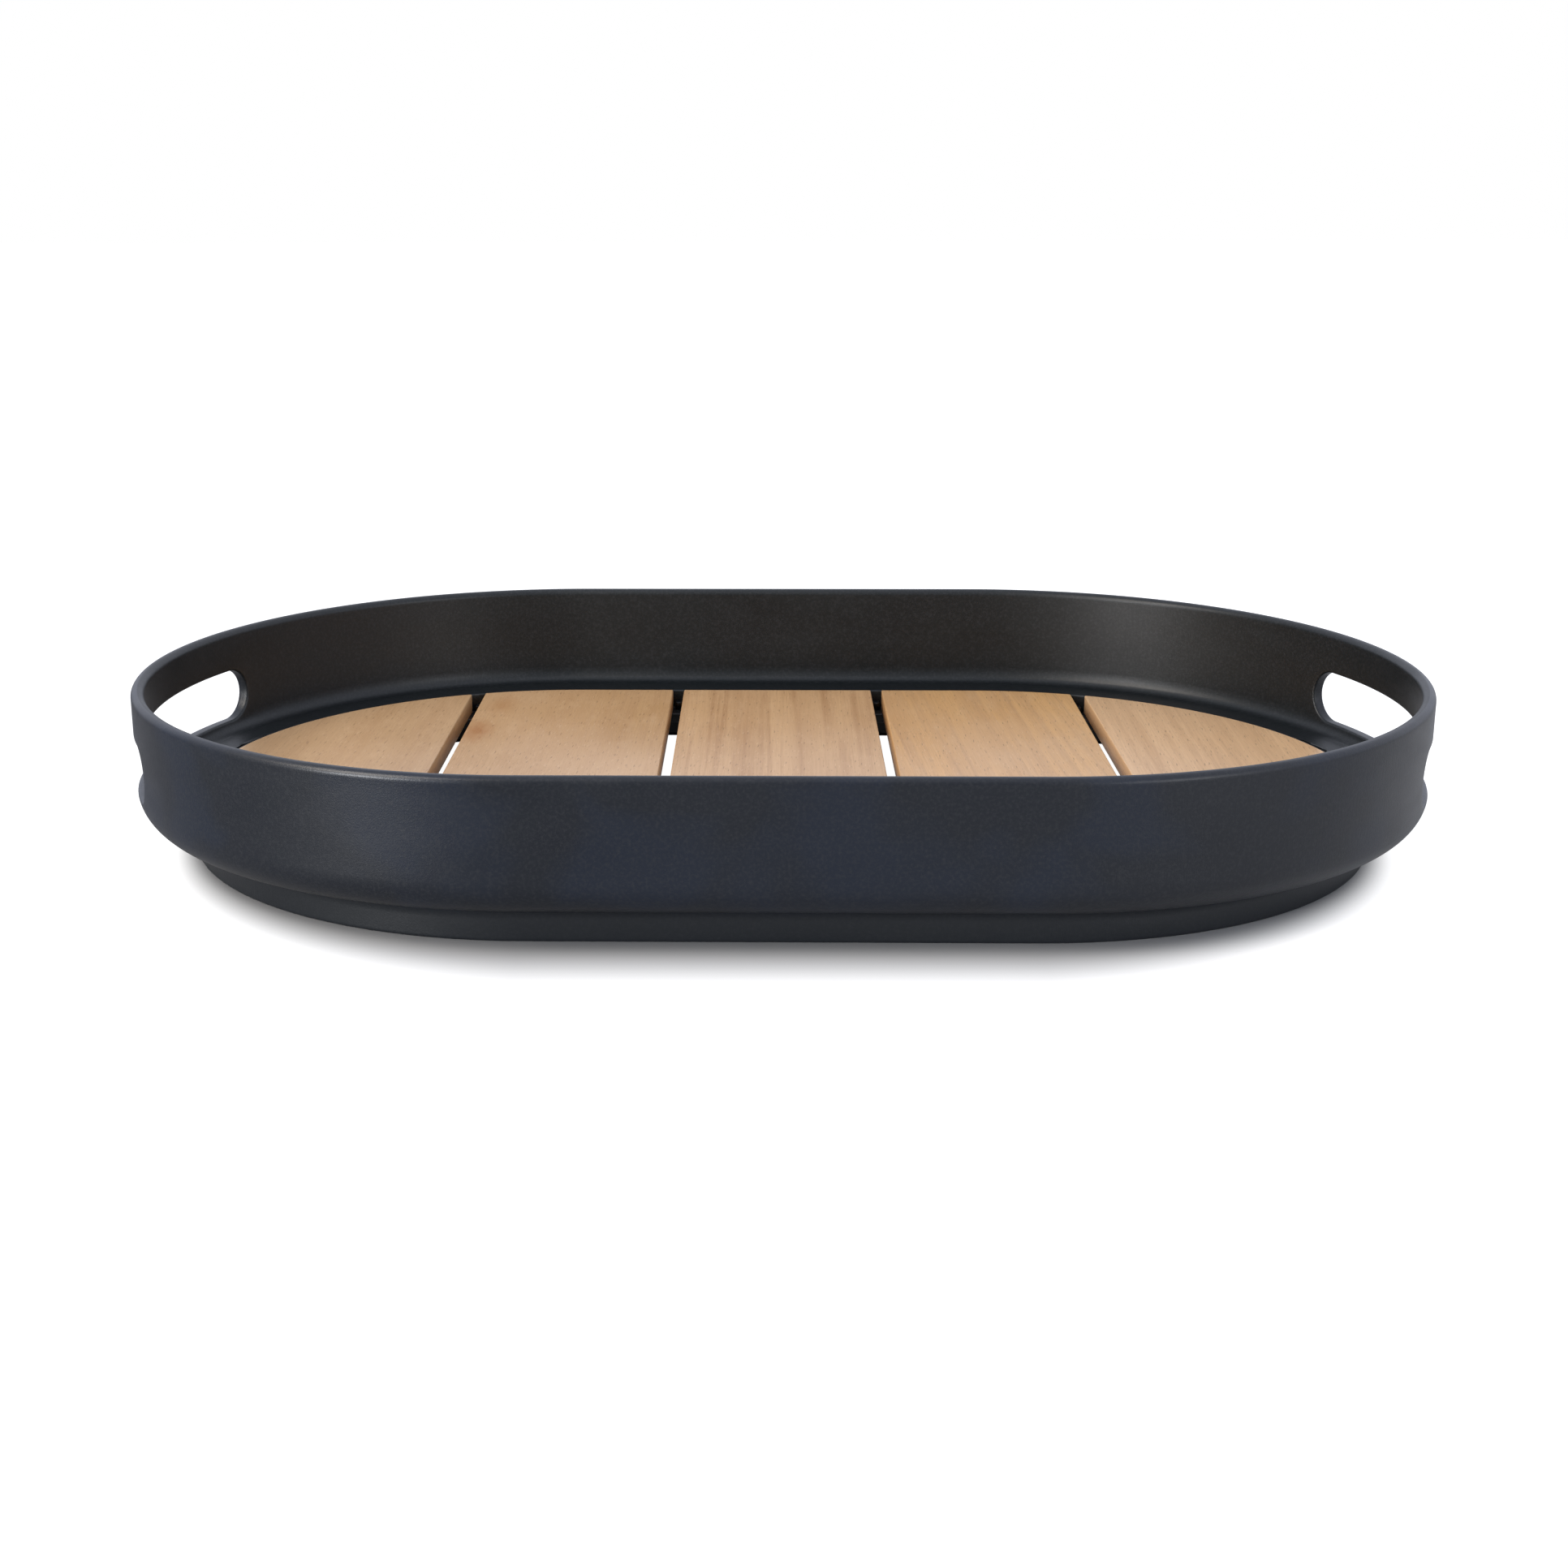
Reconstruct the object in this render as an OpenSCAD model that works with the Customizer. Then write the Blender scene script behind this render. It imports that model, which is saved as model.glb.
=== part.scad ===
// Oval serving tray: a moulded body with a rounded rim, two hand slots and a
// foot ring, and a deck of five beech slats screwed down from underneath.
// Length runs along X, width along Y, and the tray stands on Z = 0.

/* [Body] */
// Length over the two round ends
body_l = 480; // [420:1:580]
// Width over the two straight sides
body_w = 313; // [260:1:380]
// Height from the table to the top of the rim
body_h = 61; // [58:0.5:90]
// Thickness of the upright wall
wall_t = 4.8; // [4.4:0.1:6]
// Round on both edges of the rim
rim_r = 1.9; // [0.5:0.1:2.1]
// Round where the wall turns under the tray
turn_r = 11; // [6:0.5:12]
// Round where the wall meets the ledge inside
cove_r = 5; // [2:0.5:8]
// How far the ledge lies below the tops of the slats
ledge_drop = 0.2; // [0:0.1:1.5]

/* [Foot ring] */
// Height of the foot ring, from the table to the underside of the ledge
foot_h = 14; // [12:0.5:18]
// Set-back of the foot ring from the outer face of the wall
foot_in = 19.5; // [16:0.1:21]
// Width of the foot ring
foot_t = 6.7; // [5:0.1:8]
// Round on both lower edges of the foot ring, and where it meets the shelf
foot_r = 1; // [0.4:0.1:1.3]
// Fillet between the foot ring and the underside of the ledge
foot_fillet_r = 6; // [3:0.5:8]

/* [Hand slots] */
// Length of a hand slot, straight across from end to end
slot_l = 138; // [90:1:150]
// Height of a hand slot
slot_h = 20.4; // [16:0.2:24]
// Height of the middle of a hand slot above the table
slot_z = 34.6; // [33:0.2:42]
// Round on the inner and the outer lip of a hand slot
lip_r = 1; // [0.3:0.1:1.6]

/* [Slats] */
// Thickness of a slat
slat_t = 8; // [6:0.5:9]
// Width of each of the three middle slats
slat_w = 82.4; // [60:0.2:88]
// Gap on each side of the centre slat
slat_gap = 4.8; // [3.8:0.1:8]
// Gap between a middle slat and an end slat
end_gap = 5.7; // [3.8:0.1:8]
// Round on the long edges and the ends of a slat
slat_r = 0.6; // [0.2:0.1:1.5]
// Distance from the outer face of the long sides to the slats
side_margin = 23.4; // [21.5:0.1:28]
// Distance from the outer face of the round ends to the slats
end_margin = 21.2; // [20:0.1:28]

/* [Slat bed] */
// Height above the table of the shelf that the slats rest on
seat_z = 11.7; // [10:0.1:14]
// Thickness of the shelf
shelf_t = 4; // [3:0.1:5]
// How far the shelf reaches in from the foot ring
shelf_w = 9; // [8:0.5:16]
// Play between the slats and the edge of their recess
slat_fit = 0.3; // [0.2:0.1:0.8]
// Width of the spacer lug in each gap
lug_w = 3; // [2:0.1:3.4]
// How far a spacer lug stands out of the recess edge
lug_l = 4.5; // [3:0.1:6]
// Height of a spacer lug above the shelf
lug_h = 3.2; // [2:0.1:5]

/* [Screws] */
// Diameter of a screw's shank
screw_d = 3; // [2.5:0.1:3.5]
// Diameter of its pan head
head_d = 5.8; // [5:0.1:6.4]
// Height of its pan head
head_h = 2; // [1.6:0.1:2.4]
// Wood left over the point of a screw
screw_cover = 2.4; // [1.5:0.1:3.5]
// Play round the shank in the shelf and in the slat
screw_fit = 0.15; // [0.1:0.05:0.3]
// Distance from the inner face of the foot ring to the screws
screw_in = 4.4; // [4.2:0.1:6]

/* [Hidden] */
$fn = 96;

// Colours of the moulding, the wood and the screws
body_colour = "#2b2d31";
wood_colour = "#cba27c";
screw_colour = "#b9bcc0";

// Overrun of every cut past the face that it opens
over = 1;

// The wall's section is measured from the axis of a round end
body_r = body_w / 2;
wall_in_r = body_r - wall_t;
wall_mid_r = body_r - wall_t / 2;
end_x = (body_l - body_w) / 2;

// Levels of the slat bed
deck_z = seat_z + slat_t;
ledge_z = deck_z - ledge_drop;
shelf_z = seat_z - shelf_t;

// Outlines of the slats and of their recess
deck_l = body_l - 2 * end_margin;
deck_w = body_w - 2 * side_margin;
recess_l = deck_l + 2 * slat_fit;
recess_w = deck_w + 2 * slat_fit;

// The foot ring, the line of the screws and the opening in the shelf keep
// the same distance from the outer face of the wall all the way round
ring_r = body_r - foot_in;
ring_in_r = ring_r - foot_t;
screw_r = ring_in_r - screw_in;
open_r = ring_in_r - shelf_w;

// Centre lines of the side slats and of the gaps, and the end slats' edge
side_slat_x = slat_w + slat_gap;
inner_gap_x = (slat_w + slat_gap) / 2;
outer_gap_x = side_slat_x + (slat_w + end_gap) / 2;
end_slat_x = outer_gap_x + end_gap / 2;

// Half the angle that a hand slot spans, and that of its straight edges
slot_end_r = slot_h / 2;
slot_half_angle = asin(slot_l / 2 / wall_mid_r);
slot_edge_angle = slot_half_angle - asin(slot_end_r / wall_mid_r);

// How far in from the wall's faces the rounds of the lips are centred, as a
// share of their radius, so that they meet the faces at a slight edge
lip_in_share = 0.94;
lip_in = lip_in_share * lip_r;

// Two screws hold each end of a middle slat, this share of its width out from
// its middle, and a fan of three holds the round edge of an end slat
screw_side_share = 0.3;
fan_angles = [-52, 0, 52];

// Width, length and depth of the cross drive as shares of the screw's head
drive_w_share = 0.14;
drive_l_share = 0.56;
drive_depth_share = 0.55;

// Round-ended outline
module stadium(l, w) {
    square([l - w, w], center = true);
    for (side = [0, 180])
        rotate(side)
            translate([(l - w) / 2, 0])
                intersection() {
                    circle(d = w);
                    translate([0, -w / 2])
                        square([w / 2, w]);
                }
}

// Round-ended plate between two levels
module plate(l, w, z0, z1) {
    translate([0, 0, z0])
        linear_extrude(z1 - z0)
            stadium(l, w);
}

// Carries a half section, drawn outwards from the axis of a round end,
// along both straight sides and round both ends
module carried_round(straight) {
    for (side = [0, 180])
        rotate(side) {
            translate([straight / 2, 0, 0])
                rotate(-90)
                    rotate_extrude(angle = 180)
                        children();
            rotate([90, 0, 90])
                linear_extrude(straight, center = true)
                    children();
        }
}

// What a round takes off a lower right corner that stands at the origin
module corner_off(r) {
    difference() {
        translate([-r, -over])
            square(r + over);
        translate([-r, r])
            circle(r);
    }
}

// What a fillet adds in a corner, open right and down, at the origin
module corner_fill(r) {
    difference() {
        translate([0, -r])
            square(r);
        translate([r, -r])
            circle(r);
    }
}

// Outer form: the wall with its rim and its turn, on the foot ring
module outer_section() {
    difference() {
        translate([0, foot_h])
            square([body_r, body_h - foot_h]);
        translate([body_r, foot_h])
            corner_off(turn_r);
        translate([body_r, body_h])
            mirror([0, 1])
                corner_off(rim_r);
    }
    difference() {
        square([ring_r, foot_h]);
        translate([ring_r, 0])
            corner_off(foot_r);
    }
    translate([ring_r, foot_h])
        corner_fill(foot_fillet_r);
}

// Hollow above the ledge, with the cove at its foot and the rim's inner round
module upper_hollow_section() {
    difference() {
        translate([0, ledge_z])
            square([wall_in_r, body_h + over - ledge_z]);
        translate([wall_in_r, ledge_z])
            corner_off(cove_r);
    }
    translate([wall_in_r, body_h])
        rotate(180)
            corner_off(rim_r);
}

// Hollow below the shelf, inside the foot ring
module lower_hollow_section() {
    difference() {
        translate([0, -over])
            square([ring_in_r, shelf_z + over]);
        translate([ring_in_r, shelf_z])
            mirror([0, 1])
                corner_off(foot_r);
    }
    translate([ring_in_r, 0])
        mirror([1, 0])
            corner_off(foot_r);
}

// Cut of a hand slot through the wall: its section, flared at both lips,
// with the height of the slot along Y and its middle at zero
module slot_section() {
    difference() {
        translate([wall_in_r - over, -slot_end_r - lip_r])
            square([wall_t + 2 * over, slot_h + 2 * lip_r]);
        for (side = [0, 1])
            mirror([0, side])
                translate([0, slot_end_r]) {
                    translate([wall_in_r + lip_in, 0])
                        square([wall_t - 2 * lip_in, lip_r + over]);
                    for (x = [wall_in_r + lip_in, body_r - lip_in])
                        translate([x, lip_r])
                            circle(lip_r);
                }
    }
}

// The same section turned about the middle of a round slot end, for the half
// that lies past the end of the slot's straight edges
module slot_end() {
    rotate([0, 90, 0])
        rotate_extrude(angle = 180)
            intersection() {
                rotate(90)
                    mirror([0, 1])
                        slot_section();
                square([slot_end_r + lip_r, body_r + over]);
            }
}

// A whole hand slot, which follows the curve of the wall
module hand_slot() {
    translate([end_x, 0, slot_z]) {
        rotate(-slot_edge_angle)
            rotate_extrude(angle = 2 * slot_edge_angle)
                slot_section();
        for (side = [0, 1])
            mirror([0, side, 0])
                rotate(slot_edge_angle)
                    slot_end();
    }
}

// Half width, at a place along X, of a round-ended outline with end radius r
function reach(x, straight, r) =
    abs(x) <= straight / 2 ? r : sqrt(pow(r, 2) - pow(abs(x) - straight / 2, 2));

// Spacer lug in a gap, rooted in the edge of the recess on the +Y side
module spacer_lug(x) {
    translate([x, reach(x, recess_l - recess_w, recess_w / 2), seat_z])
        linear_extrude(lug_h) {
            translate([-lug_w / 2, lug_w / 2 - lug_l])
                square([lug_w, lug_l]);
            translate([0, lug_w / 2 - lug_l])
                circle(d = lug_w);
        }
}

// Puts screws, or their holes, at the places of a middle slat
module at_middle_screws(slat_x) {
    for (across = [-screw_side_share, screw_side_share])
        for (side = [-1, 1]) {
            x = slat_x + across * slat_w;
            translate([x, side * reach(x, 2 * end_x, screw_r), 0])
                children();
        }
}

// Puts screws, or their holes, along the round edge of the right end slat
module at_end_screws() {
    for (a = fan_angles)
        translate([end_x, 0, 0])
            rotate(a)
                translate([screw_r, 0, 0])
                    children();
}

// Clearance hole through the shelf
module shelf_hole() {
    translate([0, 0, shelf_z - over])
        cylinder(d = screw_d + 2 * screw_fit, h = shelf_t + 2 * over);
}

// Pilot hole in the underside of a slat
module pilot_hole() {
    translate([0, 0, seat_z - over])
        cylinder(d = screw_d + 2 * screw_fit, h = slat_t - screw_cover + screw_fit + over);
}

// Pan-head screw that holds a slat to the shelf, with a cross drive
module screw() {
    translate([0, 0, shelf_z])
        cylinder(d = screw_d, h = shelf_t + slat_t - screw_cover);
    translate([0, 0, shelf_z - head_h])
        difference() {
            rotate_extrude()
                intersection() {
                    translate([0, head_h])
                        circle(d = head_d);
                    square([head_d / 2, head_h]);
                }
            translate([0, 0, -over])
                for (turn = [0, 90])
                    rotate(turn)
                        linear_extrude(over + head_h * drive_depth_share)
                            square([head_d * drive_l_share, head_d * drive_w_share], center = true);
        }
}

// Half section of a board, with its upper and lower edge rounded
module board_section(w) {
    difference() {
        square([w / 2, slat_t]);
        translate([w / 2, 0])
            corner_off(slat_r);
        translate([w / 2, slat_t])
            mirror([0, 1])
                corner_off(slat_r);
    }
}

// A straight board along Y, which runs out past both sides of the deck
module board(w) {
    rotate([90, 0, 0])
        linear_extrude(deck_w + 2 * over, center = true)
            for (side = [0, 1])
                mirror([side, 0])
                    board_section(w);
}

// One slat: the board that stands at x, cut to the outline of the deck
module slat(x, w) {
    color(wood_colour)
        difference() {
            translate([0, 0, seat_z])
                intersection() {
                    carried_round(deck_l - deck_w)
                        board_section(deck_w);
                    translate([x, 0, 0])
                        board(w);
                }
            children();
        }
}

module tray_body() {
    color(body_colour) {
        difference() {
            carried_round(2 * end_x)
                outer_section();
            carried_round(2 * end_x)
                upper_hollow_section();
            carried_round(2 * end_x)
                lower_hollow_section();
            plate(recess_l, recess_w, seat_z, ledge_z + over);
            plate(2 * (end_x + open_r), 2 * open_r, shelf_z - over, seat_z + over);
            for (side = [0, 180])
                rotate(side) {
                    hand_slot();
                    at_end_screws()
                        shelf_hole();
                }
            for (slat_x = [-side_slat_x, 0, side_slat_x])
                at_middle_screws(slat_x)
                    shelf_hole();
        }
        for (x = [-outer_gap_x, -inner_gap_x, inner_gap_x, outer_gap_x])
            for (side = [0, 1])
                mirror([0, side, 0])
                    spacer_lug(x);
    }
}

// A middle slat with four pilot holes
module middle_slat(x) {
    slat(x, slat_w)
        at_middle_screws(x)
            pilot_hole();
}

// The right end slat, whose outer edge is the round end of the deck
module end_slat() {
    end_w = deck_l / 2 + slat_r + over - end_slat_x;
    slat(end_slat_x + end_w / 2, end_w)
        at_end_screws()
            pilot_hole();
}

module middle_screws(x) {
    color(screw_colour)
        at_middle_screws(x)
            screw();
}

module end_screws() {
    color(screw_colour)
        at_end_screws()
            screw();
}

tray_body();
rotate(180) end_slat();  // left_end_slat
middle_slat(-side_slat_x);  // left_slat
middle_slat(0);  // centre_slat
middle_slat(side_slat_x);  // right_slat
end_slat();  // right_end_slat
rotate(180) end_screws();  // left_end_screws
middle_screws(-side_slat_x);  // left_slat_screws
middle_screws(0);  // centre_slat_screws
middle_screws(side_slat_x);  // right_slat_screws
end_screws();  // right_end_screws
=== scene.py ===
"""Looks of a round-ended serving tray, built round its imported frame.

The moulded body and the five beech slats are surfaces worked out as whole arrays.
Sizes are in millimetres, as on the drawing of the tray, and become metres where a
mesh is made. X runs along the tray, Y across it, and the tray stands on Z = 0.
"""

from __future__ import annotations

import logging
import math
from dataclasses import dataclass, field
from enum import Enum

import bmesh
import bpy
import numpy as np
from mathutils import Matrix, Vector

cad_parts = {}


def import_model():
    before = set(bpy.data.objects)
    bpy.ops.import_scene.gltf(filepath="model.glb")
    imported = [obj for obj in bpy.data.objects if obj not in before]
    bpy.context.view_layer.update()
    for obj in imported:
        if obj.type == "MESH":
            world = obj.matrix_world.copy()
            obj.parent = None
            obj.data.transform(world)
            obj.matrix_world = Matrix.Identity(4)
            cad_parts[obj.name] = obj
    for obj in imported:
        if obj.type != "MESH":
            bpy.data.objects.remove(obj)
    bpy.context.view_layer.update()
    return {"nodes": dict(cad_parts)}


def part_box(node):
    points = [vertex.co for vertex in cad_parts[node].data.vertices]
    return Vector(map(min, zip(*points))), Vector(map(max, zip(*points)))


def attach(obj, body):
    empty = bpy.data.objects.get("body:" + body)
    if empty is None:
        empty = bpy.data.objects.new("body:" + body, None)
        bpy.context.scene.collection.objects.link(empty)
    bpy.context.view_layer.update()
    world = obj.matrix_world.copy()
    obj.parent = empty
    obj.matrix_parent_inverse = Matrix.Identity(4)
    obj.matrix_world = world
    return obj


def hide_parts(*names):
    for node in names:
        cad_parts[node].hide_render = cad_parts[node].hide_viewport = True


LOG = logging.getLogger("tray")
MM = 0.001
BODY = "root"
QUARTER = 0.5 * math.pi

Array = np.ndarray
Pair = tuple[float, float]
Triple = tuple[float, float, float]
Colour = tuple[float, float, float]
Socket = bpy.types.NodeSocket


class Side(Enum):
    """Which end of the tray a piece belongs to, as the sign of X."""

    LEFT = -1
    RIGHT = 1


class Figure(Enum):
    """How the grain of a slat runs.

    Attributes:
        turn: Turn of the grain from the length of the slat, in degrees.
        bands: How much late wood shows in the broad growth bands.
        stripes: How much of it shows in the fine stripes.
    """

    STRAIGHT = (0.3, 0.48, 0.68)
    FLECKED = (1.2, 0.24, 0.22)
    SLANTED = (-3.0, 0.45, 0.50)

    def __init__(self, turn: float, bands: float, stripes: float) -> None:
        """Names the three values, which the class describes."""
        self.turn, self.bands, self.stripes = turn, bands, stripes


# Round-ended outlines and sections


@dataclass(frozen=True)
class RoundEnded:
    """An outline of two straight sides and two half circles.

    Attributes:
        end_x: Distance from the middle to the axis of each round end.
        radius: Radius of the round ends, which is half the width.
    """

    end_x: float
    radius: float

    def reach(self, x: Array) -> Array:
        """Half width at each x: the radius, and past end_x the circle's height."""
        past = np.clip(np.abs(x) - self.end_x, 0.0, self.radius)
        return np.sqrt(self.radius**2 - past**2)

    def outward(self, x: Array) -> Array:
        """Outward unit normals at each x on the +Y side: those of the circle past end_x."""
        past = np.sign(x) * np.clip(np.abs(x) - self.end_x, 0.0, self.radius)
        return np.stack([past, self.reach(x)], axis=-1) / self.radius

    def shrunk(self, inset: float) -> RoundEnded:
        """The same outline set in by an equal distance all the way round."""
        return RoundEnded(self.end_x, self.radius - inset)


def arc(centre: Pair, radius: float, start: float, end: float, steps: int) -> Array:
    """Points on a circular arc of a section.

    The points are centre plus radius times (cos a, sin a), for a from start to end.

    Args:
        centre: Centre as (distance from the round end's axis, height).
        radius: Radius of the arc.
        start: First angle, in degrees.
        end: Last angle, in degrees.
        steps: Number of steps, so that steps + 1 points are made.

    Returns:
        Array of points, one row each.
    """
    a = np.radians(np.linspace(start, end, steps + 1))
    return np.stack([centre[0] + radius * np.cos(a), centre[1] + radius * np.sin(a)], axis=-1)


def line(start: Pair, end: Pair, steps: int) -> Array:
    """Evenly spaced points on a straight part of a section.

    Args:
        start: First point.
        end: Last point.
        steps: Number of steps, so that steps + 1 points are made.

    Returns:
        Array of points, one row each.
    """
    t = np.linspace(0.0, 1.0, steps + 1)[:, None]
    return (1.0 - t) * np.array(start) + t * np.array(end)


# Meshes


def grid_faces(rows: int, columns: int, wrap: bool = False) -> Array:
    """Quads of a grid of points numbered row by row.

    Args:
        rows: Number of rows of points.
        columns: Number of points in a row.
        wrap: Whether the last column joins the first.

    Returns:
        Array of faces with four point numbers each.
    """
    i = np.arange(rows - 1)[:, None] * columns
    j = np.arange(columns if wrap else columns - 1)[None, :]
    k = (j + 1) % columns
    quads = np.stack([i + j, i + k, i + columns + k, i + columns + j], axis=-1)
    return quads.reshape(-1, 4)


@dataclass
class Shell:
    """A surface while it is put together from patches, in millimetres.

    Attributes:
        points: Points of each patch.
        faces: Faces of each patch, numbered through all the points.
        marks: How far each point belongs to the outer side.
        count: Number of points so far.
        weld: Distance in metres within which points are made one.
        sliver: Length in metres below which an edge is taken out.
    """

    points: list[Array] = field(default_factory=list)
    faces: list[Array] = field(default_factory=list)
    marks: list[Array] = field(default_factory=list)
    count: int = 0
    weld: float = 2e-6
    sliver: float = 1e-7

    def add(self, points: Array, faces: Array, mark: Array | float = 0.0) -> None:
        """Adds a patch.

        Args:
            points: Its points, in any shape that ends in three.
            faces: Its faces, numbered from its own first point.
            mark: How far each point belongs to the outer side, from 0 to 1.
        """
        flat = points.reshape(-1, 3)
        self.points.append(flat)
        self.faces.append(faces + self.count)
        self.marks.append(np.broadcast_to(np.asarray(mark, float), points.shape[:-1]).reshape(-1))
        self.count += len(flat)

    def to_object(self, name: str) -> bpy.types.Object:
        """Makes the mesh object: welds the patches' seams and turns the faces outwards.

        Args:
            name: Name of the new piece.

        Returns:
            The piece, at the origin, in metres and shaded smooth.
        """
        mesh = bpy.data.meshes.new(name)
        points = np.concatenate(self.points) * MM
        faces = [face for patch in self.faces for face in patch.tolist()]
        mesh.from_pydata(points.tolist(), [], faces)
        outside = mesh.attributes.new("outside", "FLOAT", "POINT")
        outside.data.foreach_set("value", np.concatenate(self.marks).astype(np.float32))
        work = bmesh.new()
        work.from_mesh(mesh)
        bmesh.ops.remove_doubles(work, verts=work.verts, dist=self.weld)
        bmesh.ops.dissolve_degenerate(work, edges=work.edges, dist=self.sliver)
        bmesh.ops.recalc_face_normals(work, faces=work.faces)
        work.to_mesh(mesh)
        work.free()
        mesh.polygons.foreach_set("use_smooth", np.ones(len(mesh.polygons), bool))
        mesh.update()
        piece = bpy.data.objects.new(name, mesh)
        bpy.context.scene.collection.objects.link(piece)
        return piece


def dress(piece: bpy.types.Object, material: bpy.types.Material) -> None:
    """Gives a piece its only material.

    Args:
        piece: The new piece, or a node of the frame.
        material: Its finish.
    """
    piece.data.materials.clear()
    piece.data.materials.append(material)


def stand_in(piece: bpy.types.Object, node: str) -> None:
    """Fixes a new piece to the tray's one body, in place of a node of the frame."""
    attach(piece, BODY)
    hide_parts(node)


# Material nodes


class Sheet:
    """The node tree of one material or world, with short calls for the nodes it needs.

    Attributes:
        material: The material that is made, or None for a world.
        tree: Its node tree.
        output: The node that the tree ends in.
    """

    def __init__(self, name: str, world: bpy.types.World | None = None) -> None:
        """Starts an empty tree that ends in one output node.

        Args:
            name: Name of the material.
            world: The world whose tree it is, in place of a new material.
        """
        self.material = None if world else bpy.data.materials.new(name)
        owner = world or self.material
        owner.use_nodes = True
        self.tree = owner.node_tree
        self.tree.nodes.clear()
        self.output = self.node("OutputWorld" if world else "OutputMaterial")

    def feed(self, socket: Socket, value: object) -> None:
        """Links an input to another node's output, or sets it to a plain value.

        Args:
            socket: The input.
            value: An output, a number or three numbers. A colour is made opaque.
        """
        if isinstance(value, Socket):
            self.tree.links.new(value, socket)
        else:
            socket.default_value = (*value, 1.0) if socket.type == "RGBA" else value

    def node(self, kind: str, **values: object) -> bpy.types.Node:
        """Adds a node.

        Args:
            kind: Its type without the words ShaderNode in front.
            values: Settings by name, or inputs by name with spaces as underscores.

        Returns:
            The new node.
        """
        node = self.tree.nodes.new("ShaderNode" + kind)
        for key, value in values.items():
            label = key.replace("_", " ")
            socket = next((s for s in node.inputs if s.name == label and s.enabled), None)
            if socket is None:
                setattr(node, key, value)
            else:
                self.feed(socket, value)
        return node

    def own(self, axis: str) -> Socket:
        """One of the piece's own coordinates, in metres."""
        coordinates = self.node("TexCoord").outputs["Object"]
        return self.node("SeparateXYZ", Vector=coordinates).outputs[axis]

    def place(self, cells: Triple, shift: Triple = (0, 0, 0), turn: float = 0.0) -> Socket:
        """The piece's own coordinates, turned about Z, scaled and moved.

        Args:
            cells: Pattern cells to the metre along each axis.
            shift: Where the pattern starts, in cells.
            turn: Turn of the pattern about Z, in degrees.

        Returns:
            The vector socket.
        """
        coordinates = self.node("TexCoord").outputs["Object"]
        turned = self.node("Mapping", Vector=coordinates, Rotation=(0, 0, math.radians(turn)))
        made = self.node("Mapping", Vector=turned.outputs[0], Scale=cells, Location=shift)
        return made.outputs[0]

    def noise(self, place: Socket, detail: float, rough: float, warp: float = 0.0) -> Socket:
        """Fractal noise of one cell to the unit, from 0 to 1 and mostly near a half.

        Args:
            place: Where on the pattern each point of the surface lies.
            detail: Number of finer layers on top of the first one.
            rough: Strength of each layer, as a share of the one before it.
            warp: How far the pattern bends its own cells.

        Returns:
            The value's socket.
        """
        made = self.node("TexNoise", Vector=place, Scale=1.0,
                         Detail=detail, Roughness=rough, Distortion=warp)
        return made.outputs["Fac"]

    def ramp(self, value: Socket, low: float, high: float, start: float = 0.0,
             end: float = 1.0, kind: str = "LINEAR") -> Socket:
        """A value carried from one range into another, and held at its ends.

        Args:
            value: The value.
            low: What becomes start.
            high: What becomes end.
            start: Result at low and on its far side.
            end: Result at high and on its far side.
            kind: Shape of the way between them, as Blender calls it.

        Returns:
            The result's socket.
        """
        made = self.node("MapRange", interpolation_type=kind, Value=value,
                         From_Min=low, From_Max=high, To_Min=start, To_Max=end)
        return made.outputs["Result"]

    def math(self, kind: str, a: float | Socket, b: float | Socket = 0.0) -> Socket:
        """One sum of two values.

        Args:
            kind: The operation, as Blender calls it.
            a: First value.
            b: Second value, which some operations leave out.

        Returns:
            The result's socket.
        """
        made = self.node("Math", operation=kind)
        self.feed(made.inputs[0], a)
        self.feed(made.inputs[1], b)
        return made.outputs[0]

    def times(self, a: float | Socket, b: float | Socket) -> Socket:
        """The product of two values."""
        return self.math("MULTIPLY", a, b)

    def mix(self, share: float | Socket, first: object, second: object) -> Socket:
        """A mix of two colours.

        Args:
            share: Share of the second one.
            first: A colour or its socket.
            second: A colour or its socket.

        Returns:
            The mixed colour's socket.
        """
        made = self.node("MixRGB")
        for socket, value in zip(made.inputs, (share, first, second)):
            self.feed(socket, value)
        return made.outputs[0]

    def seen(self) -> Socket:
        """1 where the camera sees the surface itself or through glass, and 0 in other light."""
        path = self.node("LightPath").outputs
        return self.math("MAXIMUM", path["Is Camera Ray"], path["Is Transmission Ray"])

    def finish(self, shader: bpy.types.Node) -> bpy.types.Material | None:
        """Joins the last shader to the output.

        Args:
            shader: The shader.

        Returns:
            The material, or None for a world.
        """
        self.feed(self.output.inputs["Surface"], shader.outputs[0])
        return self.material

    def coat(self, colour: Socket, gloss: Socket, relief: Socket, bump: Pair,
             **values: float) -> bpy.types.Material:
        """Ends the tree in one opaque surface with a fine relief.

        Args:
            colour: Its colour.
            gloss: Its roughness.
            relief: Height of the relief, from 0 to 1.
            bump: Strength of the relief, and its depth in metres.
            values: Further inputs of the surface, by name.

        Returns:
            The material.
        """
        raised = self.node("Bump", Strength=bump[0], Distance=bump[1], Height=relief)
        shader = self.node("BsdfPrincipled", Base_Color=colour, Roughness=gloss,
                           Normal=raised.outputs[0], **values)
        return self.finish(shader)


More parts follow.
